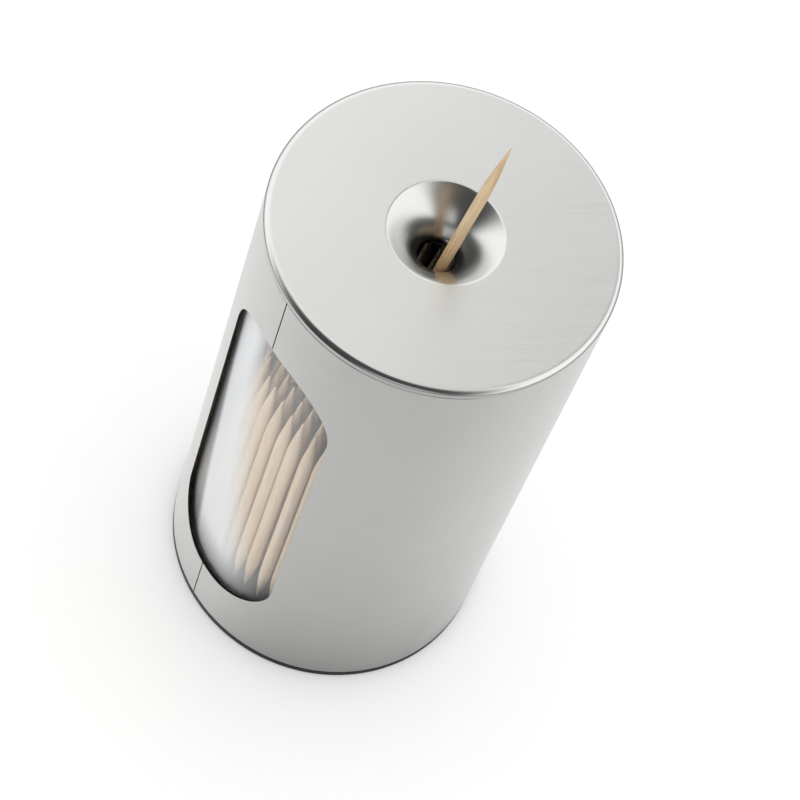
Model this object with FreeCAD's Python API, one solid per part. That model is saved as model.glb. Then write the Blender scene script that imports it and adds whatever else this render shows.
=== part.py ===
"""Toothpick dispenser: a clear tube of picks with a dished steel cap, in a windowed steel sleeve.

The dispenser stands on its foot pad. Its origin is the centre of the underside, +Z is up and the
window faces -Y. The sleeve and its base stay on the table. The container (tube, floor and picks)
lifts out of the sleeve, the cap pulls off the container, and one pick is drawn through the hole
in the dish. Lengths are in millimetres and angles in degrees.
"""
import FreeCAD, Part
import math
import os
from FreeCAD import Vector

# Clearances.
press_gap = 0.05              # glued or pressed, in one body
rest_gap = 0.1                # flat faces that come apart
liner_gap = 0.9               # between the sleeve and the tube, where the glide rings are
tube_side_gap = 0.3           # the tube in its glide rings
insert_side_gap = 0.25        # the insert in the tube
head_side_gap = 0.4           # the insert's head in the sleeve
grip_ring_gap = 0.1           # the grip ring in the tube
pick_wall_gap = 0.25
pick_gap = 0.4                # between two picks of a ring
hole_pick_gap = 0.12
drawn_pick_end_gap = 0.45     # the drawn pick's lower end above the bunch
foot_side_gap = 0.1

# Sleeve: a rolled sheet with a butt seam and a window.
body_height = 115.0
sleeve_diameter = 61.0
sleeve_wall = 0.6
sleeve_edge_round = 0.2
seam_gap = 0.25
seam_offset = 1.25            # from the window's centre line towards -X
window_width = 28.4           # straight across, not along the arc
window_sill = 5.3             # from the top of the base plug up to the window
window_lintel = 15.3          # from the window up to the sleeve's end
window_corner_radius = 12.3

# Base: a moulded plug that closes the sleeve, with a ballast disc and a foot pad.
foot_pad_margin = 4.5         # from the foot pad out to the sleeve's side
foot_pad_thickness = 1.0
foot_pad_stand = 0.4          # how far the pad stands below the plug
base_flange_height = 1.5
plug_floor = 2.2
plug_wall = 1.8
plug_rib_count = 6
plug_rib_width = 1.6
ballast_thickness = 3.6
ballast_hole_diameter = 8.0
seat_ring_width = 5.0
seat_ring_height = 3.3
glide_ring_height = 3.0
glide_ring_edge_gap = 1.2     # between a glide ring and the window's edge

# Container: a thick clear tube with a glued floor.
tube_wall = 3.0
tube_end_round = 0.3
tube_floor_thickness = 3.2

# Cap: a drawn steel disc with a dish and a hole, on a moulded insert. Its rim lies over the sleeve.
cap_sheet = 0.6
cap_edge_round = 1.2
cap_rim_height = 1.4
dish_depth = 7.7
dish_wall_angle = 54.0
dish_roll = 1.5
dish_foot = 12.0
dish_foot_angle = 46.0
hole_diameter = 7.0
hole_lip_round = 0.7
hole_collar = 0.6
insert_head_height = 10.25    # from the tube's end up to the steel disc
insert_head_edge = 0.4
insert_shoulder_height = 1.5
insert_plug_depth = 7.0
insert_wall = 1.8
insert_ledge = 1.0
grip_ring_depth = 1.2         # radial
grip_ring_height = 1.8
grip_ring_drop = 3.4          # from the tube's end down to the grip ring's middle
grip_ring_edge = 0.3
guide_cone_wall = 1.2
guide_cone_rim = 2.0
throat_diameter = 8.2

# Picks.
pick_diameter = 2.4
pick_length = 65.0
pick_taper = 11.0
pick_tip_diameter = 0.4
pick_length_scatter = 0.9
pick_ring_count = 9
pick_ring_core = 0.48         # room in the middle of the bunch, in ring pitches
visible_ring_count = 2        # these rings get more sides than the ones that they hide
visible_pick_sides = 8
hidden_pick_sides = 6
drawn_pick_lean = 6.0
drawn_pick_heading = 68.0     # direction that it leans towards, counted from +X
drawn_pick_side = -14.0       # where it leans on the hole's edge, counted from +X

# What follows from them.
sleeve_radius = sleeve_diameter / 2
sleeve_bore = sleeve_radius - sleeve_wall
sleeve_bottom = foot_pad_stand + base_flange_height
sleeve_top = body_height - cap_rim_height - rest_gap
seat_ring_bottom = foot_pad_stand + plug_floor + ballast_thickness + rest_gap
plug_height = seat_ring_bottom + seat_ring_height
window_bottom = plug_height + window_sill
window_top = sleeve_top - window_lintel
foot_pad_diameter = sleeve_diameter - 2 * foot_pad_margin
tube_diameter = 2 * (sleeve_bore - liner_gap)
tube_radius = tube_diameter / 2
tube_bore = tube_radius - tube_wall
tube_bottom = plug_height + rest_gap
floor_top = tube_bottom + tube_floor_thickness
head_radius = sleeve_bore - head_side_gap
head_top = body_height - cap_sheet - press_gap
shoulder_bottom = head_top - insert_head_height
shoulder_top = shoulder_bottom + insert_shoulder_height
tube_top = shoulder_bottom - rest_gap
hole_radius = hole_diameter / 2
hole_height = body_height - dish_depth
pick_radius = pick_diameter / 2
pick_pitch = pick_diameter + pick_gap
pick_bottom = floor_top + rest_gap
bunch_top = pick_bottom + pick_length
outer_ring_radius = tube_bore - pick_wall_gap - pick_radius
ring_pitch = outer_ring_radius / (pick_ring_count + pick_ring_core)
drawn_pick_length_outside = pick_length - (
    (hole_height - bunch_top - drawn_pick_end_gap) / math.cos(math.radians(drawn_pick_lean)))


def turned(points):
    """A solid turned about Z from a closed outline of (radius, height) points."""
    corners = [Vector(radius, 0, height) for radius, height in points]
    outline = Part.makePolygon(corners + [corners[0]])
    return Part.Face(outline).revolve(Vector(), Vector(0, 0, 1), 360)


def ring(inner, outer, bottom, top, edge=0.0):
    """A ring with its four edges bevelled by edge."""
    if edge == 0.0:
        return turned([(inner, bottom), (outer, bottom), (outer, top), (inner, top)])
    return turned([(inner, bottom + edge), (inner + edge, bottom), (outer - edge, bottom),
                   (outer, bottom + edge), (outer, top - edge), (outer - edge, top),
                   (inner + edge, top), (inner, top - edge)])


def disc(radius, bottom, top, edge=0.0):
    """A disc with its two edges bevelled by edge."""
    if edge == 0.0:
        return turned([(0, bottom), (radius, bottom), (radius, top), (0, top)])
    return turned([(0, bottom), (radius - edge, bottom), (radius, bottom + edge),
                   (radius, top - edge), (radius - edge, top), (0, top)])


def arc(centre, radius, start, end):
    """An arc in the XZ plane between two angles, counted from +X towards +Z."""
    def at(angle):
        turn = math.radians(angle)
        return Vector(centre[0] + radius * math.cos(turn), 0, centre[1] + radius * math.sin(turn))
    return Part.Arc(at(start), at((start + end) / 2), at(end)).toShape()


def line(start, end):
    return Part.makeLine(start, end)


def window_cutter():
    """The window's rounded rectangle, pushed through the front wall of the sleeve."""
    block = Part.makeBox(window_width, sleeve_radius, window_top - window_bottom,
                         Vector(-window_width / 2, -1.5 * sleeve_radius, window_bottom))
    through = [edge for edge in block.Edges if edge.BoundBox.YLength > sleeve_radius / 2]
    return block.makeFillet(window_corner_radius, through)


def outer_sleeve():
    """The rolled sheet: a C section, closed at the seam by what it is rolled round."""
    sheet = ring(sleeve_bore, sleeve_radius, sleeve_bottom, sleeve_top, sleeve_edge_round)
    seam = Part.makeBox(seam_gap, sleeve_radius, body_height,
                        Vector(-seam_offset - seam_gap / 2, -1.5 * sleeve_radius, 0))
    return sheet.cut(window_cutter()).cut(seam)


def plug_hollow():
    """Radius of the space inside the base plug's wall."""
    return sleeve_bore - press_gap - plug_wall


def base_plug():
    """A shallow cup with a flange under the sleeve, ribs inside and a recess for the foot pad."""
    outer = sleeve_bore - press_gap
    floor_height = foot_pad_stand + plug_floor
    recess_top = foot_pad_thickness
    recess = foot_pad_diameter / 2 + foot_side_gap
    bevel = sleeve_edge_round
    cup = turned([(0, recess_top), (recess, recess_top), (recess, foot_pad_stand),
                  (sleeve_radius - bevel, foot_pad_stand), (sleeve_radius, foot_pad_stand + bevel),
                  (sleeve_radius, sleeve_bottom), (outer, sleeve_bottom), (outer, plug_height),
                  (plug_hollow(), plug_height), (plug_hollow(), floor_height), (0, floor_height)])
    boss = Part.makeCylinder(ballast_hole_diameter / 2 - foot_side_gap, ballast_thickness,
                             Vector(0, 0, floor_height))
    rib_inner = ballast_radius() + foot_side_gap
    rib = Part.makeBox(plug_hollow() - rib_inner + plug_wall / 2, plug_rib_width,
                       seat_ring_bottom - floor_height, Vector(rib_inner, -plug_rib_width / 2, floor_height))
    for number in range(plug_rib_count):
        turn = 360 * number / plug_rib_count
        cup = cup.fuse(rib.rotated(Vector(), Vector(0, 0, 1), turn))
    return cup.fuse(boss).removeSplitter()


def ballast_radius():
    """The ballast disc stands between the plug's ribs."""
    return plug_hollow() - plug_wall


def ballast_disc():
    bottom = foot_pad_stand + plug_floor
    return ring(ballast_hole_diameter / 2, ballast_radius(), bottom, bottom + ballast_thickness,
                sleeve_edge_round)


def seat_ring():
    """Holds the ballast down, and carries the container."""
    outer = plug_hollow() - press_gap
    bottom = seat_ring_bottom
    inner = outer - seat_ring_width
    step = plug_wall / 2
    return turned([(inner, bottom), (outer, bottom), (outer, plug_height), (inner + step, plug_height),
                   (inner + step, plug_height - step), (inner, plug_height - step)])


def foot_pad():
    return disc(foot_pad_diameter / 2, 0, foot_pad_thickness, sleeve_edge_round)


def glide_ring(bottom):
    """A thin liner that keeps the tube off the sleeve's bare sheet."""
    outer = sleeve_bore - press_gap
    inner = tube_radius + tube_side_gap
    return ring(inner, outer, bottom, bottom + glide_ring_height)


def lower_glide_ring():
    return glide_ring(window_bottom - glide_ring_edge_gap - glide_ring_height)


def upper_glide_ring():
    return glide_ring(window_top + glide_ring_edge_gap)


def clear_tube():
    return ring(tube_bore, tube_radius, tube_bottom, tube_top, tube_end_round)


def tube_floor():
    return disc(tube_bore - press_gap, tube_bottom, floor_top)


def cap_path():
    """The visible line of the cap in section, from the rim's end to the hole's collar."""
    top = body_height
    corner = cap_edge_round
    dish_floor = hole_height
    wall = math.radians(dish_wall_angle)
    foot = math.radians(dish_foot_angle)
    lip_centre = (hole_radius + hole_lip_round, dish_floor - hole_lip_round * math.cos(foot))
    foot_centre = (lip_centre[0] - (hole_lip_round + dish_foot) * math.sin(foot),
                   dish_floor + dish_foot * math.cos(foot))
    drop = (top - dish_roll + dish_roll * math.cos(wall)) - (foot_centre[1] - dish_foot * math.cos(wall))
    roll_centre = (foot_centre[0] + (dish_roll + dish_foot) * math.sin(wall) + drop / math.tan(wall),
                   top - dish_roll)
    edge = arc((sleeve_radius - corner, top - corner), corner, 0, 90)
    roll = arc(roll_centre, dish_roll, 90, 90 + dish_wall_angle)
    hollow = arc(foot_centre, dish_foot, dish_wall_angle - 90, dish_foot_angle - 90)
    lip = arc(lip_centre, hole_lip_round, 90 + dish_foot_angle, 180)
    collar_end = Vector(hole_radius, 0, lip_centre[1] - hole_collar)
    rim = line(Vector(sleeve_radius, 0, top - cap_rim_height), edge.Vertexes[0].Point)
    flat = line(edge.Vertexes[-1].Point, roll.Vertexes[0].Point)
    slope = line(roll.Vertexes[-1].Point, hollow.Vertexes[0].Point)
    collar = line(lip.Vertexes[-1].Point, collar_end)
    return [rim, edge, flat, roll, slope, hollow, lip, collar]


def collar_bottom():
    """Height of the lower end of the collar round the hole."""
    return hole_height - hole_lip_round * math.cos(math.radians(dish_foot_angle)) - hole_collar


def cap_disc():
    """One drawn sheet: rim, rounded edge, flat top, dish and the collar round the hole."""
    path = Part.Wire(Part.__sortEdges__(cap_path()))
    section = path.makeOffset2D(-cap_sheet, 0, True, True)
    if section.BoundBox.XMax > sleeve_radius + cap_sheet / 2:
        section = path.makeOffset2D(cap_sheet, 0, True, True)
    return section.revolve(Vector(), Vector(0, 0, 1), 360)


def cone_ledge_top():
    """The guide cone's rim stands on this ledge inside the insert."""
    return shoulder_bottom - insert_plug_depth + insert_ledge


def cap_insert():
    """Plugs into the tube below its shoulder, and carries the steel disc on its head."""
    plug = tube_bore - insert_side_gap
    inside = plug - insert_wall
    bottom = shoulder_bottom - insert_plug_depth
    groove_height = grip_ring_height + 2 * rest_gap
    groove_middle = tube_top - grip_ring_drop
    groove_depth = grip_ring_floor()
    head_bore = head_radius - insert_wall
    return turned([(inside - insert_ledge, bottom), (plug, bottom),
                   (plug, groove_middle - groove_height / 2), (groove_depth, groove_middle - groove_height / 2),
                   (groove_depth, groove_middle + groove_height / 2), (plug, groove_middle + groove_height / 2),
                   (plug, shoulder_bottom), (head_radius, shoulder_bottom),
                   (head_radius, head_top - insert_head_edge), (head_radius - insert_head_edge, head_top),
                   (head_bore, head_top), (head_bore, shoulder_top), (inside, shoulder_bottom),
                   (inside, cone_ledge_top()), (inside - insert_ledge, cone_ledge_top())])


def grip_ring_floor():
    """Radius of the groove that the grip ring sits in."""
    return tube_bore - grip_ring_gap - grip_ring_depth - press_gap


def cap_grip_ring():
    """A soft band in the insert's groove that holds the cap in the tube."""
    outer = tube_bore - grip_ring_gap
    middle = tube_top - grip_ring_drop
    return ring(outer - grip_ring_depth, outer, middle - grip_ring_height / 2,
                middle + grip_ring_height / 2, grip_ring_edge)


def guide_cone():
    """An upturned funnel that leads a pick to the hole when the dispenser is tipped over."""
    rim = tube_bore - insert_side_gap - insert_wall - press_gap
    bottom = cone_ledge_top()
    throat = throat_diameter / 2
    top = collar_bottom() - rest_gap
    steep = math.atan2(top - bottom - guide_cone_rim, rim - throat)
    across = guide_cone_wall / math.cos(steep)
    return turned([(rim - guide_cone_wall, bottom), (rim, bottom), (rim, bottom + guide_cone_rim),
                   (throat + guide_cone_wall, top), (throat, top), (throat, top - across),
                   (rim - guide_cone_wall, bottom + guide_cone_rim - across)])


def faceted_pick(sides, length):
    """A pick with flat sides and a pyramid at each end, standing on its tip at the origin."""
    def corner(number, height):
        turn = 2 * math.pi * number / sides
        return Vector(pick_radius * math.cos(turn), pick_radius * math.sin(turn), height)

    low_tip = Vector(0, 0, 0)
    high_tip = Vector(0, 0, length)
    faces = []
    for number in range(sides):
        low = [corner(number, pick_taper), corner(number + 1, pick_taper)]
        high = [corner(number, length - pick_taper), corner(number + 1, length - pick_taper)]
        for loop in ([low_tip, low[1], low[0]], [low[0], low[1], high[1], high[0]],
                     [high[0], high[1], high_tip]):
            faces.append(Part.Face(Part.makePolygon(loop + [loop[0]])))
    return Part.Solid(Part.Shell(faces))


def pick_ring(number):
    """One ring of standing picks, counted from the tube's wall inwards."""
    radius = outer_ring_radius - number * ring_pitch
    count = int(2 * math.pi * radius / pick_pitch)
    sides = visible_pick_sides if number < visible_ring_count else hidden_pick_sides
    play = pick_gap / 3
    picks = []
    for place in range(count):
        wander = math.sin(2.4 * place + number)
        length = pick_length - pick_length_scatter * (1 + wander) / 2
        turn = 360 * (place + 0.5 * (number % 2)) / count + math.degrees(play * wander / radius)
        pick = faceted_pick(sides, length)
        pick.translate(Vector(radius, 0, pick_bottom))
        picks.append(pick.rotated(Vector(), Vector(0, 0, 1), turn - 90))
    return Part.makeCompound(picks)


def pick_centre():
    """The pick in the middle of the bunch."""
    pick = faceted_pick(hidden_pick_sides, pick_length)
    pick.translate(Vector(0, 0, pick_bottom))
    return pick


def dispensed_pick():
    """A round pick that leans on the hole's edge, with its lower end among the bunch's tips."""
    tip = pick_tip_diameter / 2
    pick = turned([(0, 0), (tip, 0), (pick_radius, pick_taper), (pick_radius, pick_length - pick_taper),
                   (tip, pick_length), (0, pick_length)])
    inside = pick_length - drawn_pick_length_outside
    pick.translate(Vector(0, 0, -inside))
    pick.rotate(Vector(), Vector(0, 1, 0), drawn_pick_lean)
    pick.rotate(Vector(), Vector(0, 0, 1), drawn_pick_heading)
    lean_radius = hole_radius - pick_radius - hole_pick_gap
    side = math.radians(drawn_pick_side)
    pick.translate(Vector(lean_radius * math.cos(side), lean_radius * math.sin(side),
                          hole_height))
    return pick


nodes = {
    "outer_sleeve": outer_sleeve,
    "base_plug": base_plug,
    "foot_pad": foot_pad,
    "ballast_disc": ballast_disc,
    "seat_ring": seat_ring,
    "lower_glide_ring": lower_glide_ring,
    "upper_glide_ring": upper_glide_ring,
    "clear_tube": clear_tube,
    "tube_floor": tube_floor,
    "cap_disc": cap_disc,
    "cap_insert": cap_insert,
    "cap_grip_ring": cap_grip_ring,
    "guide_cone": guide_cone,
    "pick_centre": pick_centre,
    "dispensed_pick": dispensed_pick,
}

os.makedirs("parts", exist_ok=True)
for name, make in nodes.items():
    make().exportStep(f"parts/{name}.step")
for number in range(pick_ring_count):
    pick_ring(number).exportStep(f"parts/pick_ring_{number + 1}.step")
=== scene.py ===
"""Finish of the toothpick dispenser: brushed steel, clear acrylic, black mouldings and bamboo picks.

The steel cap, the clear tube and every pick are modelled here. The sleeve, the mouldings and the
tube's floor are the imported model's own nodes with new materials. All lengths are in metres.
"""
import math

import bmesh
import bpy
from bpy.props import FloatProperty, FloatVectorProperty, IntProperty, PointerProperty
from mathutils import Euler, Matrix, Vector


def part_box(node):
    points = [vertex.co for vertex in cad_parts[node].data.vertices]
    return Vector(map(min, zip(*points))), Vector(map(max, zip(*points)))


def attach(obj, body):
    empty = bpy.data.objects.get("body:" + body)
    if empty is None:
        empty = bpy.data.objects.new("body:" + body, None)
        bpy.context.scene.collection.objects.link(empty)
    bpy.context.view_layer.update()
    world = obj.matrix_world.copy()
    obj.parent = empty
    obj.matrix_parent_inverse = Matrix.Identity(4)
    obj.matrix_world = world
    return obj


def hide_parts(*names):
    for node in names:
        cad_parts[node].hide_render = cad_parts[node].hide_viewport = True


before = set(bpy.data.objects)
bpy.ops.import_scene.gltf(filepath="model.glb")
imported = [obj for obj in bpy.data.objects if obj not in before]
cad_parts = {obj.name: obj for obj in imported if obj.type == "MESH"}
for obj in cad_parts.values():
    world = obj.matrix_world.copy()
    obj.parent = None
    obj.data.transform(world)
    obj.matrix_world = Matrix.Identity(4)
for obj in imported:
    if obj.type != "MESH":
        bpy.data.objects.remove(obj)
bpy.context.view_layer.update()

bl_info = {
    "name": "Toothpick Dispenser Finish",
    "version": (1, 0, 0),
    "blender": (4, 5, 0),
    "location": "3D View > Sidebar > Dispenser",
    "description": "Models the picks, the clear tube and the steel cap, and finishes every piece",
    "category": "Object",
}

MM = 0.001

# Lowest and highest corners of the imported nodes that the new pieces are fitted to
TUBE_LOW, TUBE_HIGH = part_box("clear_tube")
FLOOR_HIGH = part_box("tube_floor")[1]
RING_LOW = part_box("pick_ring_1")[0]
SLEEVE_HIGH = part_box("outer_sleeve")[1]
CAP_LOW, CAP_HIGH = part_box("cap_disc")

# Each ring of a whittled end: its share of the taper and its share of the pick's thickness
STANDING_END = ((0.3, 0.86), (0.65, 0.5), (1.0, 0.14))
DRAWN_END = ((0.12, 0.97), (0.3, 0.88), (0.5, 0.72), (0.72, 0.48), (0.9, 0.26), (1.0, 0.10))
DRAWN_SIDES, TUBE_SIDES, CAP_SIDES = 32, 256, 192
TUBE_END_SEGMENTS = 4
# Steps of the arcs in the cap's section, from its rim to its hole
CORNER_STEPS, SHOULDER_STEPS, EDGE_STEPS, BELL_STEPS, LIP_STEPS = 5, 14, 6, 24, 6
# Turns in radians that keep neighbouring picks from looking alike
PICK_SPIN, PICK_WANDER = 1.7, 2.4
# Edges sharper than these angles stay sharp
PICK_SMOOTH, TURNED_SMOOTH = math.radians(40), math.radians(30)
WELD = 0.002 * MM

# Steel: the painted shade on the sleeve's inside, in the hole's collar and on the rim's upright side. The
# sleeve's painted shade starts below its outer skin, and stops short of its upper end.
SLEEVE_PAINTED_SHADE, COLLAR_PAINTED_SHADE, RIM_SIDE_PAINTED_SHADE = 0.03, 0.06, 0.68
SLEEVE_SKIN, UNSHADED_END = 0.08 * MM, 1.5 * MM
CAP_BRUSH_ANGLE = math.radians(64)
# The length over which the painted shade at the drawn pick's foot fades
FOOT_SHADE_LENGTH = 16 * MM

# Acrylic: a pale painted reflection grows between two values of Facing, which shift with the height,
# and less of it is left at the tube's very outline and, as painted shade, at its foot
PAINTED_REFLECTION_COLOUR = (0.83, 0.84, 0.85, 1.0)
REFLECTION_FACING, REFLECTION_COVER = (0.59, 0.685), (0.13, 0.91)
REFLECTION_SHIFT, SHIFT_HEIGHTS = -0.04, (20 * MM, 90 * MM)
OUTLINE_FACING, OUTLINE_REFLECTION = (0.775, 0.81), 0.4
FOOT_REFLECTION, REFLECTION_HEIGHT = 0.42, 27 * MM

# Table: metal and acrylic see painted shade on it, a card beside the object that is darker at the base
# and a dark horizon, darkest in front, and painted light near the base off the card. The turns are
# cosines from the card's and the front's directions, the horizon's start and end radii.
TABLE_SIZE, TABLE_LIFT = 6.0, 0.13
CARD_SIDE, CARD_TURN, CARD_SHADE = (0.94, -0.34, 0.0), (-0.3, 1.0), 0.22
FOOT_REACH, CARD_FOOT_SHADE, FOOT_LIFT = 2.1, 0.36, 0.3
HORIZON_START, HORIZON_END, HORIZON_SHADE = 0.20, 0.32, 0.6
FRONT_SIDE, FRONT_TURN, FRONT_SHADE = (0.5, -0.866, 0.0), (0.3, 0.75), 0.32

# World: metal and acrylic see a tent in place of the even light. Each part has a direction, the
# cosines between which it comes in, and its brightness.
TENT_GLOW = 1.28
OPENING_SIDE, OPENING_TURN, OPENING_GLOW = (0.32, -0.70, 0.64), (0.38, 0.80), 0.05
PATCH_SIDE, PATCH_TURN, PATCH_GLOW = (-0.088, 0.551, 0.830), (0.93, 0.99), 0.37
SKY_SIDE, SKY_TURN, HORIZON_GLOW = (0.0, 0.0, 1.0), (-0.02, 0.32), 0.4
LAMP_SIDE, LAMP_TURN, SIDE_LAMP_GLOW = (0.69, -0.69, 0.22), (0.88, 0.985), 0.7

CAMERA_PLACE = (0.16858647, -0.21867703, 0.52264789)
CAMERA_AZIMUTH, CAMERA_ELEVATION = math.radians(36.8938), math.radians(59.2143)
CAMERA_ROLL = math.radians(22.4504)
CAMERA_LENS, CAMERA_SENSOR = 133.809, 36.0


class DispenserSizes(bpy.types.PropertyGroup):
    """Sizes of what is modelled here, in metres."""

    pick_diameter: FloatProperty(
        name="Pick Diameter", description="Thickness of a pick in its straight part",
        default=2.4 * MM, min=0.5 * MM, max=4 * MM, unit="LENGTH")
    pick_length: FloatProperty(
        name="Pick Length", description="Length of a pick from tip to tip",
        default=65 * MM, min=30 * MM, max=90 * MM, unit="LENGTH")
    pick_taper: FloatProperty(
        name="Pick Taper", description="Length of each whittled end",
        default=11 * MM, min=2 * MM, max=20 * MM, unit="LENGTH")
    pick_scatter: FloatProperty(
        name="Length Scatter", description="How much shorter the shortest pick is",
        default=0.9 * MM, min=0, max=3 * MM, unit="LENGTH")
    pick_gap: FloatProperty(
        name="Pick Gap", description="Room between two neighbours of a ring",
        default=0.4 * MM, min=0.05 * MM, max=2 * MM, unit="LENGTH")
    pick_sides: IntProperty(
        name="Pick Sides", description="Sides of a standing pick", default=10, min=6, max=16)
    ring_count: IntProperty(
        name="Pick Rings", description="Rings of standing picks round the middle one",
        default=9, min=1, max=9)
    outer_ring_radius: FloatProperty(
        name="Outer Ring Radius", description="From the axis to the middles of the outer ring's picks",
        default=24.55 * MM, min=5 * MM, max=40 * MM, unit="LENGTH")
    ring_core: FloatProperty(
        name="Bunch Core", description="Room in the middle of the bunch, in ring pitches",
        default=0.48, min=0, max=2)
    drawn_diameter: FloatProperty(
        name="Drawn Pick Diameter", description="Thickness of the drawn pick, which is a slim one",
        default=1.95 * MM, min=0.5 * MM, max=4 * MM, unit="LENGTH")
    drawn_taper: FloatProperty(
        name="Drawn Pick Taper", description="Length of each whittled end of the drawn pick",
        default=14.5 * MM, min=2 * MM, max=25 * MM, unit="LENGTH")
    drawn_lean: FloatProperty(
        name="Drawn Pick Lean", description="Angle of the drawn pick from upright",
        default=math.radians(6), min=0, max=math.radians(20), subtype="ANGLE")
    drawn_heading: FloatProperty(
        name="Drawn Pick Heading", description="Direction that the drawn pick leans towards, from +X",
        default=math.radians(68), subtype="ANGLE")
    drawn_side: FloatProperty(
        name="Drawn Pick Side", description="Where the drawn pick touches the hole's edge, from +X",
        default=math.radians(-14), subtype="ANGLE")
    drawn_inside: FloatProperty(
        name="Drawn Pick Inside", description="Length of the drawn pick below the hole's edge",
        default=29.009 * MM, min=5 * MM, max=60 * MM, unit="LENGTH")
    drawn_lean_radius: FloatProperty(
        name="Drawn Pick Offset", description="From the hole's axis to the drawn pick's axis",
        default=2.18 * MM, min=0, max=5 * MM, unit="LENGTH")
    hole_height: FloatProperty(
        name="Hole Height", description="Height of the hole's edge above the table",
        default=107.3 * MM, min=50 * MM, max=200 * MM, unit="LENGTH")
    cap_sheet: FloatProperty(
        name="Cap Sheet", description="Thickness of the cap's steel",
        default=0.6 * MM, min=0.2 * MM, max=2 * MM, unit="LENGTH")
    rim_gap: FloatProperty(
        name="Rim Gap", description="Room between the cap's rim and the sleeve's end",
        default=0.02 * MM, min=0, max=1 * MM, unit="LENGTH")
    rim_corner: FloatProperty(
        name="Rim Corner", description="Small rounding between the rim and the shoulder",
        default=0.2 * MM, min=0.05 * MM, max=1 * MM, unit="LENGTH")
    rim_slope: FloatProperty(
        name="Rim Slope", description="Where the small rounding meets the shoulder",
        default=math.radians(35), min=0, max=math.radians(80), subtype="ANGLE")
    rim_shoulder: FloatProperty(
        name="Rim Shoulder", description="Large rounding up to the flat",
        default=1.35 * MM, min=0.3 * MM, max=3 * MM, unit="LENGTH")
    dish_radius: FloatProperty(
        name="Dish Radius", description="Where the flat ends and the polished dish starts",
        default=10.3 * MM, min=4 * MM, max=25 * MM, unit="LENGTH")
    dish_edge: FloatProperty(
        name="Dish Edge", description="Small rounding at the dish's edge",
        default=0.8 * MM, min=0.1 * MM, max=3 * MM, unit="LENGTH")
    dish_top_slope: FloatProperty(
        name="Dish Top Slope", description="Slope of the dish's wall at its edge",
        default=math.radians(30), min=0, max=math.radians(80), subtype="ANGLE")
    dish_foot_slope: FloatProperty(
        name="Dish Foot Slope", description="Slope of the dish's wall at the hole",
        default=math.radians(66), min=0, max=math.radians(89), subtype="ANGLE")
    hole_radius: FloatProperty(
        name="Hole Radius", description="Radius of the hole in the dish",
        default=3.5 * MM, min=1 * MM, max=8 * MM, unit="LENGTH")
    hole_lip: FloatProperty(
        name="Hole Lip", description="Rounding of the hole's edge",
        default=0.5 * MM, min=0.1 * MM, max=2 * MM, unit="LENGTH")
    tube_wall: FloatProperty(
        name="Tube Wall", description="Thickness of the clear tube",
        default=3 * MM, min=1 * MM, max=6 * MM, unit="LENGTH")
    tube_end_round: FloatProperty(
        name="Tube End Round", description="Rounding of the clear tube's ends",
        default=0.3 * MM, min=0.05 * MM, max=1 * MM, unit="LENGTH")


class DispenserColours(bpy.types.PropertyGroup):
    """Colours of the finishes."""

    sleeve_steel: FloatVectorProperty(
        name="Sleeve Steel", description="Brushed steel of the sleeve", subtype="COLOR",
        size=3, min=0, max=1, default=(0.70, 0.70, 0.685))
    cap_steel: FloatVectorProperty(
        name="Cap Steel", description="Brushed and polished steel of the cap", subtype="COLOR",
        size=3, min=0, max=1, default=(0.71, 0.715, 0.697))
    pick_light: FloatVectorProperty(
        name="Pick Light", description="Pale bamboo", subtype="COLOR",
        size=3, min=0, max=1, default=(0.86, 0.72, 0.53))
    pick_dark: FloatVectorProperty(
        name="Pick Dark", description="Fibres and darker picks", subtype="COLOR",
        size=3, min=0, max=1, default=(0.70, 0.52, 0.33))
    drawn_light: FloatVectorProperty(
        name="Drawn Pick Light", description="Golden bamboo of the drawn pick", subtype="COLOR",
        size=3, min=0, max=1, default=(0.88, 0.72, 0.50))
    # The drawn pick's dark colour also gives the painted shade at its foot
    drawn_dark: FloatVectorProperty(
        name="Drawn Pick Dark", description="Its fibres and its foot", subtype="COLOR",
        size=3, min=0, max=1, default=(0.56, 0.36, 0.18))
    black_moulding: FloatVectorProperty(
        name="Black Moulding", description="Base plug, liner rings, cap insert and guide cone",
        subtype="COLOR", size=3, min=0, max=1, default=(0.014, 0.014, 0.015))
    grey_moulding: FloatVectorProperty(
        name="Grey Moulding", description="Seat ring", subtype="COLOR",
        size=3, min=0, max=1, default=(0.10, 0.10, 0.10))
    foot_rubber: FloatVectorProperty(
        name="Foot Rubber", description="Foot pad and grip ring", subtype="COLOR",
        size=3, min=0, max=1, default=(0.028, 0.028, 0.028))
    ballast_iron: FloatVectorProperty(
        name="Ballast Iron", description="Ballast disc", subtype="COLOR",
        size=3, min=0, max=1, default=(0.22, 0.22, 0.23))
    table: FloatVectorProperty(
        name="Table", description="Plain pale table", subtype="COLOR",
        size=3, min=0, max=1, default=(0.97, 0.97, 0.97))


def deselect_everything():
    bpy.ops.object.select_all(action="DESELECT")


def active_piece(name):
    """The object that was just added, under its own name."""
    piece = bpy.context.object
    piece.name = name
    piece.data.name = name
    return piece


def select_faces(piece, wanted):
    """Selects, in edit mode, the faces that a test on their centre and normal asks for."""
    bpy.ops.mesh.select_mode(type="FACE")
    bpy.ops.mesh.select_all(action="DESELECT")
    mesh = bmesh.from_edit_mesh(piece.data)
    for face in mesh.faces:
        face.select_set(bool(wanted(face.calc_center_median(), face.normal)))
    bmesh.update_edit_mesh(piece.data)


def extrude_ring(rise, scale):
    """Carries the selection on along the Z axis and scales it about that axis."""
    bpy.ops.mesh.extrude_region_move(TRANSFORM_OT_translate={"value": (0, 0, rise)})
    bpy.ops.transform.resize(value=(scale, scale, 1.0), center_override=(0, 0, 0))


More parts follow.
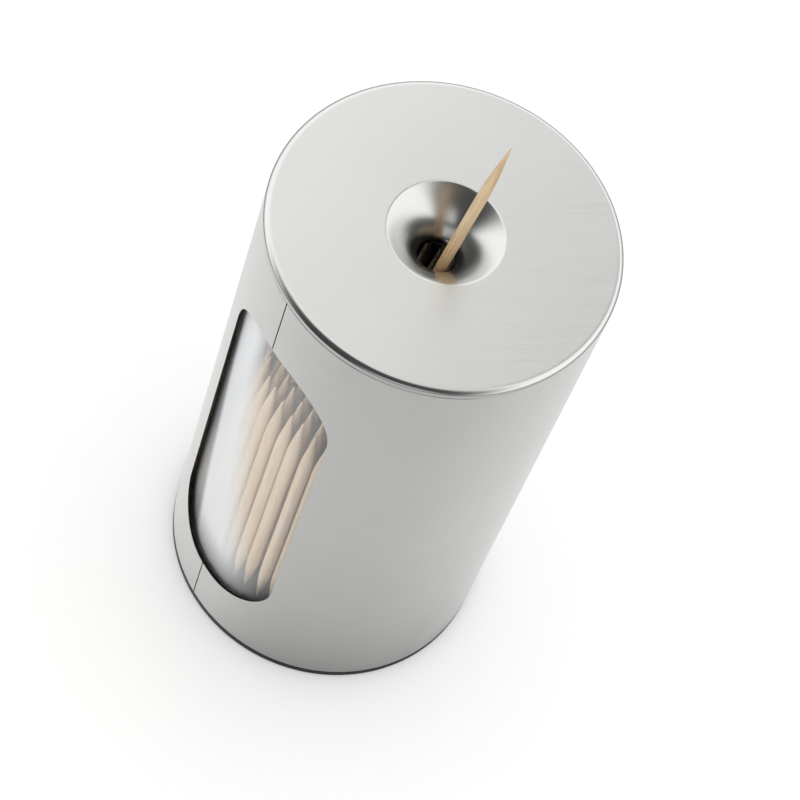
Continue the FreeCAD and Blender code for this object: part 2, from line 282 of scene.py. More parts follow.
def settle(piece):
    """Puts the object's place into its mesh."""
    deselect_everything()
    piece.select_set(True)
    bpy.context.view_layer.objects.active = piece
    bpy.ops.object.transform_apply(location=True, rotation=True, scale=True)


def give(piece, material):
    """One material all over."""
    piece.data.materials.clear()
    piece.data.materials.append(material)


def refinish(node, material):
    """A carried-over node keeps its mesh and gets a better material."""
    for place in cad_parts[node].material_slots:
        place.material = material


def new_material(name):
    """A material with its node tree and its main shader."""
    material = bpy.data.materials.new(name)
    material.use_nodes = True
    tree = material.node_tree
    return material, tree, tree.nodes["Principled BSDF"]


def fill(tree, node, inputs):
    """Gives a node's inputs, by name or by place, their numbers and their links."""
    for socket, value in inputs.items():
        if isinstance(value, bpy.types.NodeSocket):
            tree.links.new(value, node.inputs[socket])
        else:
            node.inputs[socket].default_value = value
    return node


def add(tree, kind, inputs=None, **settings):
    """A new node with its settings and its inputs."""
    node = tree.nodes.new(kind)
    for name, value in settings.items():
        setattr(node, name, value)
    return fill(tree, node, inputs or {})


def maths(tree, operation, *values, use_clamp=False):
    """The result of a Math node. Each value is a number or a socket."""
    node = add(tree, "ShaderNodeMath", dict(enumerate(values)), operation=operation, use_clamp=use_clamp)
    return node.outputs["Value"]


def vectors(tree, operation, *values):
    """The result of a Vector Math node, which is a number for a length or a dot product."""
    node = add(tree, "ShaderNodeVectorMath", dict(enumerate(values)), operation=operation)
    return node.outputs["Value" if operation in ("LENGTH", "DOT_PRODUCT") else "Vector"]


def product(tree, first, *others):
    """Numbers and sockets multiplied in their order."""
    for other in others:
        first = maths(tree, "MULTIPLY", first, other)
    return first


def spread(tree, value, low, high, start=0.3, stop=0.7, easing="LINEAR"):
    """What lies between start and stop, spread over low to high."""
    limits = {"Value": value, "From Min": start, "From Max": stop, "To Min": low, "To Max": high}
    return add(tree, "ShaderNodeMapRange", limits, interpolation_type=easing).outputs["Result"]


def eased(tree, value, start, stop, low=0.0, high=1.0):
    """The same with soft ends."""
    return spread(tree, value, low, high, start, stop, "SMOOTHSTEP")


def blend(tree, factor, first, second):
    """Two numbers mixed by a mask."""
    return add(tree, "ShaderNodeMix", {"Factor": factor, "A": first, "B": second}).outputs["Result"]


def mixed_colour(tree, factor, first, second):
    """Two colours mixed by a mask. The colour sockets of a Mix node are its seventh and eighth."""
    colours = {0: factor, 6: (*first, 1.0), 7: (*second, 1.0)}
    return add(tree, "ShaderNodeMix", colours, data_type="RGBA").outputs[2]


def noise(tree, vector, scale, detail, roughness=0.5, distortion=0.0):
    """A noise between 0 and 1."""
    inputs = {"Vector": vector, "Scale": scale, "Detail": detail, "Roughness": roughness,
              "Distortion": distortion}
    return add(tree, "ShaderNodeTexNoise", inputs).outputs["Fac"]


def relief(tree, height, distance):
    """A normal with fine relief."""
    inputs = {"Height": height, "Distance": distance, "Strength": 1.0}
    return add(tree, "ShaderNodeBump", inputs).outputs["Normal"]


def object_place(tree, rotation=(0, 0, 0)):
    """Object coordinates, turned by a Mapping node."""
    place = add(tree, "ShaderNodeTexCoord").outputs["Object"]
    return add(tree, "ShaderNodeMapping", {"Vector": place, "Rotation": rotation}).outputs["Vector"]


def height_of(tree, place):
    return add(tree, "ShaderNodeSeparateXYZ", {0: place}).outputs["Z"]


def from_axis(tree, place):
    """How far a place is from the Z axis."""
    return vectors(tree, "LENGTH", vectors(tree, "MULTIPLY", place, (1.0, 1.0, 0.0)))


def mirrored_rays(tree, path):
    """Is 1 for rays that come by way of metal or acrylic, from the outputs of a Light Path node."""
    return maths(tree, "MAXIMUM", path["Is Glossy Ray"], path["Is Transmission Ray"])


def new_group(name, inputs, outputs):
    """A shader node group with named sockets. It returns the group, the sockets at its start and the
    node at its end."""
    group = bpy.data.node_groups.new(name, "ShaderNodeTree")
    for direction, sockets in (("INPUT", inputs), ("OUTPUT", outputs)):
        for label, kind, default in sockets:
            socket = group.interface.new_socket(label, in_out=direction, socket_type="NodeSocket" + kind)
            if default is not None:
                socket.default_value = default
    return group, group.nodes.new("NodeGroupInput").outputs, group.nodes.new("NodeGroupOutput")


def use_group(tree, name, inputs):
    """The outputs of a node group, by its name."""
    return add(tree, "ShaderNodeGroup", inputs, node_tree=bpy.data.node_groups[name]).outputs


def brush_lines_group():
    """Fine strokes: noise stretched by Scale, with broad clouds of slightly different strokes."""
    group, start, end = new_group(
        "Brush Lines",
        [("Vector", "Vector", None), ("Scale", "Vector", (100.0, 4000.0, 100.0)),
         ("Cloud Size", "Float", 60.0)],
        [("Lines", "Float", None), ("Cloud", "Float", None)])
    stretched = vectors(group, "MULTIPLY", start["Vector"], start["Scale"])
    fill(group, end, {
        "Lines": noise(group, stretched, 1.0, 3.0, roughness=0.65),
        "Cloud": noise(group, start["Vector"], start["Cloud Size"], 2.0)})


def handling_marks_group():
    """Soft smudges and dust that make a surface a little duller in places."""
    group, start, end = new_group(
        "Handling Marks",
        [("Vector", "Vector", None), ("Size", "Float", 90.0), ("Cover", "Float", 0.5)],
        [("Marks", "Float", None)])
    smudge = noise(group, start["Vector"], start["Size"], 4.0, roughness=0.6, distortion=0.6)
    edge = maths(group, "ADD", start["Cover"], 0.18)
    fill(group, end, {"Marks": eased(group, smudge, start["Cover"], edge)})


def wood_grain_group():
    """Fibres along Z, with a tone that differs from pick to pick across X and Y."""
    group, start, end = new_group(
        "Wood Grain",
        [("Vector", "Vector", None), ("Fibre Scale", "Vector", (4200.0, 4200.0, 130.0)),
         ("Tone Scale", "Vector", (420.0, 420.0, 14.0))],
        [("Fibres", "Float", None), ("Tone", "Float", None)])
    for label, scale, detail in (("Fibres", "Fibre Scale", 4.0), ("Tone", "Tone Scale", 1.5)):
        stretched = vectors(group, "MULTIPLY", start["Vector"], start[scale])
        fill(group, end, {label: noise(group, stretched, 1.0, detail)})


def moulded_skin_group():
    """The fine grain of a spark-eroded mould."""
    group, start, end = new_group(
        "Moulded Skin",
        [("Vector", "Vector", None), ("Grain", "Float", 3500.0)],
        [("Height", "Float", None), ("Tone", "Float", None)])
    fill(group, end, {
        "Height": noise(group, start["Vector"], start["Grain"], 3.0),
        "Tone": noise(group, start["Vector"], 120.0, 2.0)})


def steel_sleeve_material(colour, skin_radius, unshaded_height):
    """Satin strokes that run round the sleeve. Inside the skin radius, up to the unshaded height, its
    inside and its window's cut edges are painted near black as shade."""
    material, tree, shader = new_material("sleeve_brushed_steel")
    place = object_place(tree)
    brush = use_group(tree, "Brush Lines", {"Vector": place, "Scale": (70.0, 70.0, 5200.0),
                                            "Cloud Size": 38.0})
    marks = use_group(tree, "Handling Marks", {"Vector": place, "Size": 60.0, "Cover": 0.55})
    strokes = spread(tree, brush["Lines"], 0.955, 1.03)
    cloud = spread(tree, brush["Cloud"], 0.985, 1.015)
    # The sleeve's inside and its window's cut edges are painted near black as shade
    outside = maths(tree, "GREATER_THAN", from_axis(tree, place), skin_radius)
    at_end = maths(tree, "GREATER_THAN", height_of(tree, place), unshaded_height)
    unshaded = maths(tree, "MAXIMUM", outside, at_end)
    inner_painted_shade = spread(tree, unshaded, SLEEVE_PAINTED_SHADE, 1.0, 0.0, 1.0)
    satin = spread(tree, brush["Lines"], 0.33, 0.41)
    round_axis = add(tree, "ShaderNodeTangent", direction_type="RADIAL", axis="Z")
    fill(tree, shader, {
        "Base Color": vectors(tree, "MULTIPLY", colour, product(tree, strokes, cloud, inner_painted_shade)),
        "Roughness": maths(tree, "MULTIPLY_ADD", marks["Marks"], 0.03, satin),
        "Normal": relief(tree, brush["Lines"], 0.0025 * MM),
        "Tangent": round_axis.outputs["Tangent"],
        "Metallic": 1.0, "Anisotropic": 0.8, "Anisotropic Rotation": 0.25})
    return material


def steel_cap_material(colour, dish_radius, rim_radius, hole_height):
    """Straight satin strokes on the flat, a smoother dish, a polished rim and painted shade in the collar.
    """
    material, tree, shader = new_material("cap_brushed_steel")
    place = object_place(tree)
    along = object_place(tree, (0.0, 0.0, -CAP_BRUSH_ANGLE))
    brush = use_group(tree, "Brush Lines", {"Vector": along, "Scale": (60.0, 3600.0, 60.0),
                                            "Cloud Size": 45.0})
    marks = use_group(tree, "Handling Marks", {"Vector": place, "Size": 85.0, "Cover": 0.55})
    radius = from_axis(tree, place)
    on_flat = eased(tree, radius, dish_radius - 1.0 * MM, dish_radius + 0.4 * MM)
    on_rim = eased(tree, radius, rim_radius - 0.9 * MM, rim_radius - 0.6 * MM)
    lines = blend(tree, on_flat, 0.5, brush["Lines"])
    strokes = spread(tree, lines, 0.987, 1.010)
    cloud = spread(tree, brush["Cloud"], 0.985, 1.015)
    # Painted shade in the hole's collar, from just below the hole's edge downwards
    in_dish = maths(tree, "LESS_THAN", radius, dish_radius)
    deep = spread(tree, height_of(tree, place), 1.0, 0.0, hole_height - 0.5 * MM, hole_height + 0.4 * MM)
    collar = spread(tree, product(tree, deep, in_dish), 1.0, COLLAR_PAINTED_SHADE, 0.0, 1.0)
    # Painted shade on the rim's upright side, which tones down its reflection
    side = spread(tree, radius, 1.0, RIM_SIDE_PAINTED_SHADE, rim_radius - 0.16 * MM, rim_radius - 0.06 * MM)
    satin = blend(tree, on_flat, 0.24, spread(tree, lines, 0.27, 0.33))
    polished = blend(tree, on_rim, satin, 0.2)
    fill(tree, shader, {
        "Base Color": vectors(tree, "MULTIPLY", colour, product(tree, strokes, cloud, collar, side)),
        "Roughness": maths(tree, "MULTIPLY_ADD", marks["Marks"], 0.03, polished),
        "Normal": relief(tree, lines, 0.0008 * MM),
        "Metallic": 1.0})
    return material


def acrylic_material():
    """Clear polished acrylic with faint rubbing marks. Seen at a low angle its wall turns pale with a
    painted reflection, weaker at its foot as painted shade, and lamps shine straight through it."""
    material, tree, shader = new_material("clear_acrylic")
    place = object_place(tree)
    height = height_of(tree, place)
    marks = use_group(tree, "Handling Marks", {"Vector": place, "Size": 70.0, "Cover": 0.5})
    scuffs = use_group(tree, "Brush Lines", {"Vector": place, "Scale": (900.0, 900.0, 40.0),
                                             "Cloud Size": 50.0})
    tint = spread(tree, scuffs["Cloud"], 0.975, 0.995)
    rubbed = spread(tree, scuffs["Lines"], 0.01, 0.05)
    fill(tree, shader, {
        "Base Color": vectors(tree, "MULTIPLY", (1.0, 1.0, 0.998), tint),
        "Roughness": maths(tree, "MULTIPLY_ADD", marks["Marks"], 0.02, rubbed),
        "Transmission Weight": 1.0, "IOR": 1.08})
    # A pale diffuse layer at low angles is a painted reflection; its weaker foot is painted shade
    facing = add(tree, "ShaderNodeLayerWeight", {"Blend": 0.5}).outputs["Facing"]
    facing = maths(tree, "ADD", facing, spread(tree, height, REFLECTION_SHIFT, 0.0, *SHIFT_HEIGHTS))
    cover = eased(tree, facing, *REFLECTION_FACING, *REFLECTION_COVER)
    foot = eased(tree, height, FLOOR_HIGH.z, REFLECTION_HEIGHT, FOOT_REFLECTION, 1.0)
    outline = eased(tree, facing, *OUTLINE_FACING, 1.0, OUTLINE_REFLECTION)
    pale = add(tree, "ShaderNodeBsdfDiffuse", {"Color": PAINTED_REFLECTION_COLOUR}).outputs[0]
    with_reflection = add(tree, "ShaderNodeMixShader", {0: product(tree, cover, foot, outline),
                                             1: shader.outputs[0], 2: pale}).outputs[0]
    path = add(tree, "ShaderNodeLightPath").outputs
    lamps = maths(tree, "MAXIMUM", path["Is Shadow Ray"], path["Is Diffuse Ray"])
    straight = add(tree, "ShaderNodeBsdfTransparent", {"Color": (0.97, 0.97, 0.97, 1.0)}).outputs[0]
    surface = add(tree, "ShaderNodeMixShader", {0: lamps, 1: with_reflection, 2: straight}).outputs[0]
    fill(tree, tree.nodes["Material Output"], {"Surface": surface})
    return material


def pick_material(name, light, dark, rotation=(0, 0, 0), shade_from=0.0):
    """Smooth pale bamboo with fibres along the pick. A drawn pick gets painted shade where it leaves the
    hole.
    """
    material, tree, shader = new_material(name)
    grain = use_group(tree, "Wood Grain", {"Vector": object_place(tree, rotation)})
    fibres = spread(tree, grain["Fibres"], 0.0, 0.55, 0.38, 0.68)
    tone = spread(tree, grain["Tone"], 0.0, 0.5, 0.35, 0.65)
    darker = maths(tree, "ADD", fibres, tone, use_clamp=True)
    if shade_from:
        # Painted shade where the drawn pick leaves the hole, fading upwards
        height = height_of(tree, object_place(tree))
        painted_foot_shade = spread(tree, height, 0.75, 0.0, shade_from, shade_from + FOOT_SHADE_LENGTH)
        darker = maths(tree, "ADD", darker, painted_foot_shade, use_clamp=True)
    fill(tree, shader, {
        "Base Color": mixed_colour(tree, darker, light, dark),
        "Roughness": spread(tree, grain["Fibres"], 0.48, 0.64),
        "Normal": relief(tree, grain["Fibres"], 0.02 * MM),
        "Specular IOR Level": 0.35})
    return material


def moulded_material(name, colour, grain, roughness, depth):
    """Matt moulded plastic, rubber or plain iron, told apart by grain, gloss and depth."""
    material, tree, shader = new_material(name)
    place = object_place(tree)
    skin = use_group(tree, "Moulded Skin", {"Vector": place, "Grain": grain})
    marks = use_group(tree, "Handling Marks", {"Vector": place, "Size": 70.0, "Cover": 0.5})
    dust = tuple(0.9 * part + 0.03 for part in colour)
    dusty = mixed_colour(tree, maths(tree, "MULTIPLY", marks["Marks"], 0.4), colour, dust)
    fill(tree, shader, {
        "Base Color": vectors(tree, "MULTIPLY", dusty, spread(tree, skin["Tone"], 0.9, 1.1)),
        "Roughness": spread(tree, skin["Height"], roughness - 0.06, roughness + 0.06),
        "Normal": relief(tree, skin["Height"], depth)})
    return material


def table_material(colour, base_radius):
    """A pale matt table. Metal and acrylic see painted shade on one side and far away, and painted shade
    and light near the base.
    """
    material, tree, shader = new_material("plain_table")
    place = object_place(tree)
    reach = vectors(tree, "LENGTH", place)
    outward = vectors(tree, "NORMALIZE", place)
    # Painted shade and painted light in the table's colour, seen only by metal and acrylic
    on_card = eased(tree, vectors(tree, "DOT_PRODUCT", outward, CARD_SIDE), *CARD_TURN)
    near = eased(tree, reach, base_radius, FOOT_REACH * base_radius, 1.0, 0.0)
    at_foot = spread(tree, maths(tree, "POWER", on_card, 2.0), -FOOT_LIFT, CARD_FOOT_SHADE, 0.0, 1.0)
    card = maths(tree, "MULTIPLY_ADD", on_card, CARD_SHADE, product(tree, near, at_foot))
    front = vectors(tree, "DOT_PRODUCT", outward, FRONT_SIDE)
    horizon = eased(tree, front, *FRONT_TURN, HORIZON_SHADE, HORIZON_SHADE + FRONT_SHADE)
    far = eased(tree, reach, HORIZON_START, HORIZON_END)
    shade = maths(tree, "MAXIMUM", card, product(tree, far, horizon))
    path = add(tree, "ShaderNodeLightPath").outputs
    mirrored = mirrored_rays(tree, path)
    left = maths(tree, "SUBTRACT", 1.0, product(tree, shade, mirrored))
    mottle = spread(tree, noise(tree, place, 9.0, 3.0), 0.995, 1.005)
    seen = maths(tree, "MAXIMUM", path["Is Camera Ray"], mirrored)
    fill(tree, shader, {
        "Base Color": vectors(tree, "MULTIPLY", colour, product(tree, mottle, left)),
        "Emission Color": (1.0, 1.0, 1.0, 1.0),
        "Emission Strength": product(tree, seen, maths(tree, "MULTIPLY", left, TABLE_LIFT)),
        "Roughness": 0.9, "Specular IOR Level": 0.1})
    return material


def whittled_pick(name, sides, diameter, length, taper, ends):
    """A round pick that stands on its lower tip at the origin, with whittled ends."""
    straight = length - 2 * taper
    deselect_everything()
    bpy.ops.mesh.primitive_cylinder_add(vertices=sides, radius=diameter / 2, depth=straight,
                                        location=(0, 0, length / 2))
    pick = active_piece(name)
    bpy.ops.object.mode_set(mode="EDIT")
    for end in (1, -1):
        select_faces(pick, lambda centre, normal: normal.z * end > 0.9)
        reached, width = 0.0, 1.0
        for share, narrowed in ends:
            extrude_ring(end * (share - reached) * taper, narrowed / width)
            reached, width = share, narrowed
    bpy.ops.object.mode_set(mode="OBJECT")
    settle(pick)
    bpy.ops.object.shade_smooth_by_angle(angle=PICK_SMOOTH)
    return pick


def add_arc(outline, bend, stop, steps):
    """Carries a section on by an arc. A point is its radius, its height, where its face points, and how
    gently it bends there."""
    radius, height, start, _ = outline[-1]
    middle_radius, middle_height = radius - bend * math.cos(start), height - bend * math.sin(start)
    for step in range(1, steps + 1):
        facing = start + (stop - start) * step / steps
        outline.append((middle_radius + bend * math.cos(facing), middle_height + bend * math.sin(facing),
                        facing, bend))


def turned_ring(name, section, sides):
    """A closed section turned round the Z axis, by drawing a ring of edges from point to point."""
    deselect_everything()
    first_radius, first_height = section[0]
    bpy.ops.mesh.primitive_circle_add(vertices=sides, radius=first_radius, location=(0, 0, first_height))
    piece = active_piece(name)
    settle(piece)
    bpy.ops.object.mode_set(mode="EDIT")
    bpy.ops.mesh.select_mode(type="VERT")
    bpy.ops.mesh.select_all(action="SELECT")
    for (radius, height), (next_radius, next_height) in zip(section, section[1:] + section[:1]):
        extrude_ring(next_height - height, next_radius / radius)
    bpy.ops.mesh.select_all(action="SELECT")
    bpy.ops.mesh.remove_doubles(threshold=WELD)
    bpy.ops.mesh.normals_make_consistent(inside=False)
    bpy.ops.object.mode_set(mode="OBJECT")
    bpy.ops.object.shade_smooth_by_angle(angle=TURNED_SMOOTH)
    return piece


class DISPENSER_OT_standing_picks(bpy.types.Operator):
    """Model the bunch of picks that stands in the tube, ring by ring"""

    bl_idname = "dispenser.standing_picks"
    bl_label = "Standing Picks"

    def execute(self, context):
        sizes = context.scene.dispenser_sizes
        colours = context.scene.dispenser_colours
        pattern = whittled_pick("pattern_pick", sizes.pick_sides, sizes.pick_diameter, sizes.pick_length,
                                sizes.pick_taper, STANDING_END)
        give(pattern, pick_material("standing_pick_bamboo", tuple(colours.pick_light),
                                    tuple(colours.pick_dark)))
        pitch = sizes.outer_ring_radius / (sizes.ring_count + sizes.ring_core)
        for number in range(sizes.ring_count):
            radius = sizes.outer_ring_radius - number * pitch
            count = int(2 * math.pi * radius / (sizes.pick_diameter + sizes.pick_gap))
            places = []
            for place in range(count):
                wander = math.sin(PICK_WANDER * place + number)
                shorter = 1 - sizes.pick_scatter * (1 + wander) / 2 / sizes.pick_length
                turn = (2 * math.pi * (place + 0.5 * (number % 2)) / count
                        + sizes.pick_gap / 3 * wander / radius - math.pi / 2)
                spot = Vector((radius * math.cos(turn), radius * math.sin(turn), RING_LOW.z))
                places.append((spot, shorter, place))
            self.stand(pattern, f"bamboo_picks_{number + 1}", places, f"pick_ring_{number + 1}")
        middle = Vector((0, 0, RING_LOW.z))
        self.stand(pattern, "bamboo_pick_middle", [(middle, 1.0, 0)], "pick_centre")
        bpy.data.objects.remove(pattern)
        return {"FINISHED"}

    def stand(self, pattern, name, places, node):
        """Copies of the pattern pick, joined into one piece that replaces the node. A place gives a
        pick's foot, how much it is shortened and its number in the ring."""
        copies = []
        for spot, shorter, place in places:
            pick = pattern.copy()
            pick.data = pattern.data.copy()
            bpy.context.scene.collection.objects.link(pick)
            pick.matrix_world = (Matrix.Translation(spot) @ Matrix.Rotation(PICK_SPIN * place, 4, "Z")
                                 @ Matrix.Diagonal((1.0, 1.0, shorter, 1.0)))
            copies.append(pick)
        deselect_everything()
        for pick in copies:
            pick.select_set(True)
        bpy.context.view_layer.objects.active = copies[0]
        if len(copies) > 1:
            bpy.ops.object.join()
        bunch = active_piece(name)
        settle(bunch)
        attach(bunch, "container")
        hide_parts(node)


class DISPENSER_OT_drawn_pick(bpy.types.Operator):
    """Model the pick that leans in the hole of the dish"""

    bl_idname = "dispenser.drawn_pick"
    bl_label = "Drawn Pick"

    def execute(self, context):
        sizes = context.scene.dispenser_sizes
        colours = context.scene.dispenser_colours
        pick = whittled_pick("drawn_bamboo_pick", DRAWN_SIDES, sizes.drawn_diameter, sizes.pick_length,
                             sizes.drawn_taper, DRAWN_END)
        lean = Euler((0, sizes.drawn_lean, sizes.drawn_heading)).to_matrix().to_4x4()
        hole_edge = Vector((sizes.drawn_lean_radius * math.cos(sizes.drawn_side),
                            sizes.drawn_lean_radius * math.sin(sizes.drawn_side), sizes.hole_height))
        pick.matrix_world = (Matrix.Translation(hole_edge) @ lean
                             @ Matrix.Translation((0, 0, -sizes.drawn_inside)))
        settle(pick)
        turned_back = lean.inverted().to_euler()
        give(pick, pick_material("drawn_pick_bamboo", tuple(colours.drawn_light), tuple(colours.drawn_dark),
                                 tuple(turned_back), shade_from=sizes.hole_height))
        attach(pick, "drawn_pick")
        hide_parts("dispensed_pick")
        return {"FINISHED"}


class DISPENSER_OT_clear_tube(bpy.types.Operator):
    """Model the thick clear tube and give its floor the same acrylic"""

    bl_idname = "dispenser.clear_tube"
    bl_label = "Clear Tube"

    def execute(self, context):
        sizes = context.scene.dispenser_sizes
        deselect_everything()
        bpy.ops.mesh.primitive_cylinder_add(
            vertices=TUBE_SIDES, radius=TUBE_HIGH.x, depth=TUBE_HIGH.z - TUBE_LOW.z,
            end_fill_type="NOTHING", location=(0, 0, (TUBE_HIGH.z + TUBE_LOW.z) / 2))
        tube = active_piece("acrylic_tube")
        settle(tube)
        wall = tube.modifiers.new("wall", "SOLIDIFY")
        wall.thickness = sizes.tube_wall
        wall.offset = -1.0
        ends = tube.modifiers.new("ends", "BEVEL")
        ends.width = sizes.tube_end_round
        ends.segments = TUBE_END_SEGMENTS
        ends.limit_method = "ANGLE"
        for modifier in ("wall", "ends"):
            bpy.ops.object.modifier_apply(modifier=modifier)
        bpy.ops.object.shade_smooth_by_angle(angle=TURNED_SMOOTH)
        acrylic = acrylic_material()
        give(tube, acrylic)
        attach(tube, "container")
        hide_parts("clear_tube")
        refinish("tube_floor", acrylic)
        return {"FINISHED"}


class DISPENSER_OT_steel_cap(bpy.types.Operator):
    """Model the drawn steel cap: its rim, its flat, its bell-mouthed dish and the hole's collar"""

    bl_idname = "dispenser.steel_cap"
    bl_label = "Steel Cap"

    def execute(self, context):
        sizes = context.scene.dispenser_sizes
        colours = context.scene.dispenser_colours
        cap = turned_ring("drawn_steel_cap", self.section(sizes), CAP_SIDES)
        give(cap, steel_cap_material(tuple(colours.cap_steel), sizes.dish_radius, CAP_HIGH.x,
                                     sizes.hole_height))
        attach(cap, "cap")
        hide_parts("cap_disc")
        return {"FINISHED"}

    def section(self, sizes):
        """The sheet's section as radius and height: over the top from the rim's end to the collar's end,
        and back underneath. The face's direction starts outwards and ends inwards. A point held close to
        each end of the flat keeps its shading level."""
        outwards, upright, inwards = 0.0, math.radians(90), math.radians(180)
        hold = 0.15 * MM
        shoulder_radius = (CAP_HIGH.x - sizes.rim_corner * (1 - math.cos(sizes.rim_slope))
                           - sizes.rim_shoulder * math.cos(sizes.rim_slope))
        shoulder_drop = sizes.rim_shoulder * (1 - math.sin(sizes.rim_slope))
        dish_start = sizes.dish_radius - sizes.dish_edge * math.sin(sizes.dish_top_slope)
        lip_start = sizes.hole_radius + sizes.hole_lip * (1 - math.sin(sizes.dish_foot_slope))
        turned = math.sin(sizes.dish_foot_slope) - math.sin(sizes.dish_top_slope)
        bell = (dish_start - lip_start) / turned
        corner_foot = CAP_HIGH.z - shoulder_drop - sizes.rim_corner * math.sin(sizes.rim_slope)
        over = [(CAP_HIGH.x, SLEEVE_HIGH.z + sizes.rim_gap, outwards, sizes.cap_sheet),
                (CAP_HIGH.x, corner_foot, outwards, 0.0)]
        add_arc(over, sizes.rim_corner, sizes.rim_slope, CORNER_STEPS)
        add_arc(over, sizes.rim_shoulder, upright, SHOULDER_STEPS)
        over.append((shoulder_radius - hold, CAP_HIGH.z, upright, sizes.cap_sheet))
        over.append((sizes.dish_radius + hold, CAP_HIGH.z, upright, sizes.cap_sheet))
        over.append((sizes.dish_radius, CAP_HIGH.z, upright, 0.0))
        add_arc(over, sizes.dish_edge, upright + sizes.dish_top_slope, EDGE_STEPS)
        add_arc(over, bell, upright + sizes.dish_foot_slope, BELL_STEPS)
        add_arc(over, sizes.hole_lip, inwards, LIP_STEPS)
        over.append((sizes.hole_radius, CAP_LOW.z, inwards, sizes.cap_sheet))
        sheet = sizes.cap_sheet
        under = [(radius - sheet * math.cos(facing), height - sheet * math.sin(facing))
                 for radius, height, facing, bend in reversed(over) if bend >= sheet]
        return [(radius, height) for radius, height, facing, bend in over] + under


class DISPENSER_OT_sleeve_finish(bpy.types.Operator):
    """Brush the steel sleeve and paint shade near black on its inside"""

    bl_idname = "dispenser.sleeve_finish"
    bl_label = "Sleeve Finish"

    def execute(self, context):
        colour = tuple(context.scene.dispenser_colours.sleeve_steel)
        steel = steel_sleeve_material(colour, SLEEVE_HIGH.x - SLEEVE_SKIN, SLEEVE_HIGH.z - UNSHADED_END)
        refinish("outer_sleeve", steel)
        return {"FINISHED"}


class DISPENSER_OT_moulded_finish(bpy.types.Operator):
    """Give the mouldings, the rubber and the ballast their skins"""

    bl_idname = "dispenser.moulded_finish"
    bl_label = "Moulded Finish"

    def execute(self, context):
        colours = context.scene.dispenser_colours
        # The material's name, its colour, its grain's scale, its roughness, its relief and its nodes
        finishes = (
            ("black_moulding", colours.black_moulding, 3500.0, 0.5, 0.01 * MM,
             ("base_plug", "lower_glide_ring", "upper_glide_ring", "cap_insert", "guide_cone")),
            ("grey_moulding", colours.grey_moulding, 3000.0, 0.55, 0.01 * MM, ("seat_ring",)),
            ("foot_rubber", colours.foot_rubber, 1800.0, 0.8, 0.03 * MM, ("foot_pad", "cap_grip_ring")),
            ("ballast_iron", colours.ballast_iron, 900.0, 0.7, 0.05 * MM, ("ballast_disc",)),
        )
        for name, colour, grain, roughness, depth, nodes in finishes:
            material = moulded_material(name, tuple(colour), grain, roughness, depth)
            for node in nodes:
                refinish(node, material)
        return {"FINISHED"}


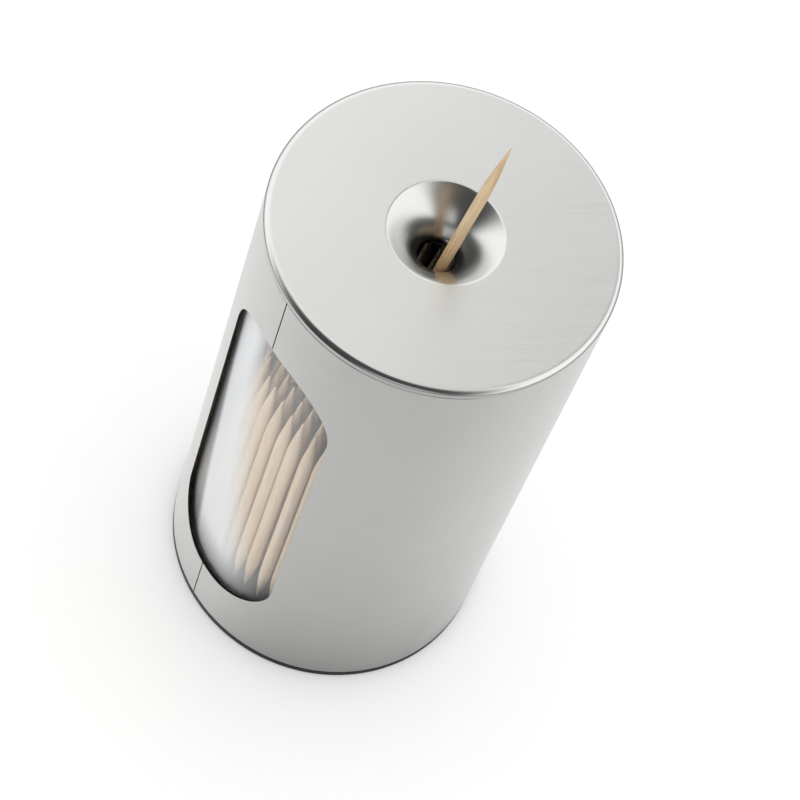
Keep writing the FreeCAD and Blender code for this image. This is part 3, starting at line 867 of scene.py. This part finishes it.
class DISPENSER_OT_studio(bpy.types.Operator):
    """Set up the pale table, the soft light and the camera"""

    bl_idname = "dispenser.studio"
    bl_label = "Studio"

    def execute(self, context):
        deselect_everything()
        bpy.ops.mesh.primitive_plane_add(size=TABLE_SIZE, location=(0, 0, 0))
        table = active_piece("table")
        give(table, table_material(tuple(context.scene.dispenser_colours.table), SLEEVE_HIGH.x))
        self.light(context.scene)
        self.camera(context.scene)
        return {"FINISHED"}

    def light(self, scene):
        """Even light, in which metal and acrylic see a tent with a dark opening, a darker patch in its
        roof, a dark horizon and a low lamp at its side."""
        world = bpy.data.worlds.new("soft_studio")
        scene.world = world
        world.use_nodes = True
        tree = world.node_tree
        direction = add(tree, "ShaderNodeTexCoord").outputs["Generated"]

        def along(axis, turn, low, high):
            """How far a direction turns towards an axis, spread over low to high."""
            return eased(tree, vectors(tree, "DOT_PRODUCT", direction, axis), *turn, low, high)

        opening = along(OPENING_SIDE, OPENING_TURN, TENT_GLOW, OPENING_GLOW)
        patch = along(PATCH_SIDE, PATCH_TURN, 1.0, PATCH_GLOW)
        sky = along(SKY_SIDE, SKY_TURN, HORIZON_GLOW, 1.0)
        lamp = along(LAMP_SIDE, LAMP_TURN, 0.0, SIDE_LAMP_GLOW)
        tent = maths(tree, "MAXIMUM", product(tree, opening, patch), lamp)
        mirrored = mirrored_rays(tree, add(tree, "ShaderNodeLightPath").outputs)
        glow = blend(tree, mirrored, 1.0, product(tree, tent, sky))
        fill(tree, tree.nodes["Background"], {"Strength": glow, "Color": (1.0, 1.0, 1.0, 1.0)})

    def camera(self, scene):
        """A camera turned from the front, raised, and rolled so that the upright object leans."""
        back = Vector((math.sin(CAMERA_AZIMUTH) * math.cos(CAMERA_ELEVATION),
                       -math.cos(CAMERA_AZIMUTH) * math.cos(CAMERA_ELEVATION),
                       math.sin(CAMERA_ELEVATION)))
        level = Vector((math.cos(CAMERA_AZIMUTH), math.sin(CAMERA_AZIMUTH), 0))
        upward = back.cross(level)
        right = math.cos(CAMERA_ROLL) * level + math.sin(CAMERA_ROLL) * upward
        up = back.cross(right)
        data = bpy.data.cameras.new("studio_camera")
        data.sensor_width = CAMERA_SENSOR
        data.lens = CAMERA_LENS
        data.clip_start, data.clip_end = 0.05, 50.0
        camera = bpy.data.objects.new("studio_camera", data)
        scene.collection.objects.link(camera)
        turn = Matrix((right, up, back)).transposed().to_4x4()
        camera.matrix_world = Matrix.Translation(CAMERA_PLACE) @ turn
        scene.camera = camera
        scene.view_settings.view_transform = "Standard"


class DISPENSER_PT_panel(bpy.types.Panel):
    """The dispenser's sizes, colours and pieces"""

    bl_idname = "DISPENSER_PT_panel"
    bl_label = "Toothpick Dispenser"
    bl_space_type = "VIEW_3D"
    bl_region_type = "UI"
    bl_category = "Dispenser"

    def draw(self, context):
        for group in (context.scene.dispenser_sizes, context.scene.dispenser_colours):
            box = self.layout.box()
            for name in group.__annotations__:
                box.prop(group, name)
        for operator in STEPS:
            self.layout.operator(operator.bl_idname)


STEPS = (
    DISPENSER_OT_standing_picks,
    DISPENSER_OT_drawn_pick,
    DISPENSER_OT_clear_tube,
    DISPENSER_OT_steel_cap,
    DISPENSER_OT_sleeve_finish,
    DISPENSER_OT_moulded_finish,
    DISPENSER_OT_studio,
)
CLASSES = (DispenserSizes, DispenserColours, *STEPS, DISPENSER_PT_panel)


def register():
    for cls in CLASSES:
        bpy.utils.register_class(cls)
    bpy.types.Scene.dispenser_sizes = PointerProperty(type=DispenserSizes)
    bpy.types.Scene.dispenser_colours = PointerProperty(type=DispenserColours)


def unregister():
    del bpy.types.Scene.dispenser_colours
    del bpy.types.Scene.dispenser_sizes
    for cls in reversed(CLASSES):
        bpy.utils.unregister_class(cls)


def main():
    register()
    for make_group in (brush_lines_group, handling_marks_group, wood_grain_group, moulded_skin_group):
        make_group()
    bpy.ops.dispenser.standing_picks()
    bpy.ops.dispenser.drawn_pick()
    bpy.ops.dispenser.clear_tube()
    bpy.ops.dispenser.steel_cap()
    bpy.ops.dispenser.sleeve_finish()
    bpy.ops.dispenser.moulded_finish()
    bpy.ops.dispenser.studio()


if __name__ == "__main__":
    main()
